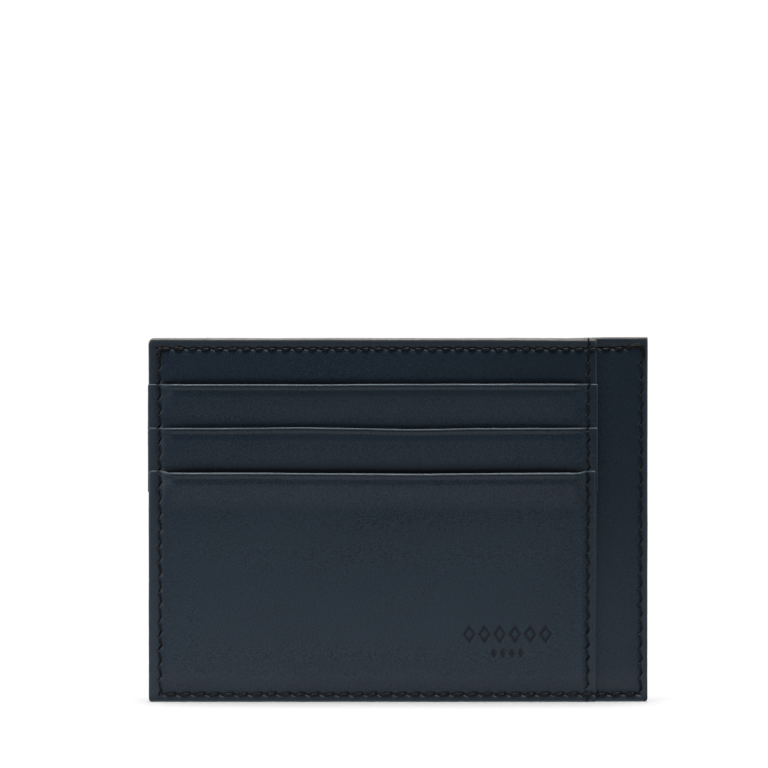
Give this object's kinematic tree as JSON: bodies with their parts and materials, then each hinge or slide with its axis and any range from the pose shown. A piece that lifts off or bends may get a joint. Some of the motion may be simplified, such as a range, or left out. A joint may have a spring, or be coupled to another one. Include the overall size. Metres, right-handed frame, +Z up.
{
  "type": "card holder",
  "caption": "Flat leather card holder, two sewn halves with stepped card slots beside a plain strip, around an open-topped note pocket",
  "frame": {"origin": "middle of the lower edge, on the surface that the holder stands on", "axes": "+X along the width, +Z up the height, front half with the stamped mark facing -Y"},
  "size_m": [0.103, 0.006, 0.075],
  "materials": {
    "leather": "smooth navy calf, semi-matt, painted edges",
    "lining": "fine dark twill",
    "thread": "waxed black sewing thread"
  },
  "bodies": {
    "root": {"front_pocket_lining": "lining", "front_base_panel": "leather", "front_block_backing": "leather", "front_slot1_strip": "leather", "front_slot1_tail": "lining", "front_slot1_tail_thread": "thread", "front_slot2_strip": "leather", "front_slot2_tail": "lining", "front_slot2_tail_thread": "thread", "front_lower_pocket": "leather", "front_top_seam_thread": "thread", "front_divider_seam_thread": "thread", "front_perimeter_thread": "thread", "back_pocket_lining": "lining", "back_base_panel": "leather", "back_block_backing": "leather", "back_slot1_strip": "leather", "back_slot1_tail": "lining", "back_slot1_tail_thread": "thread", "back_slot2_strip": "leather", "back_slot2_tail": "lining", "back_slot2_tail_thread": "thread", "back_lower_pocket": "leather", "back_top_seam_thread": "thread", "back_divider_seam_thread": "thread", "back_perimeter_thread": "thread"}
  },
  "joints": []
}
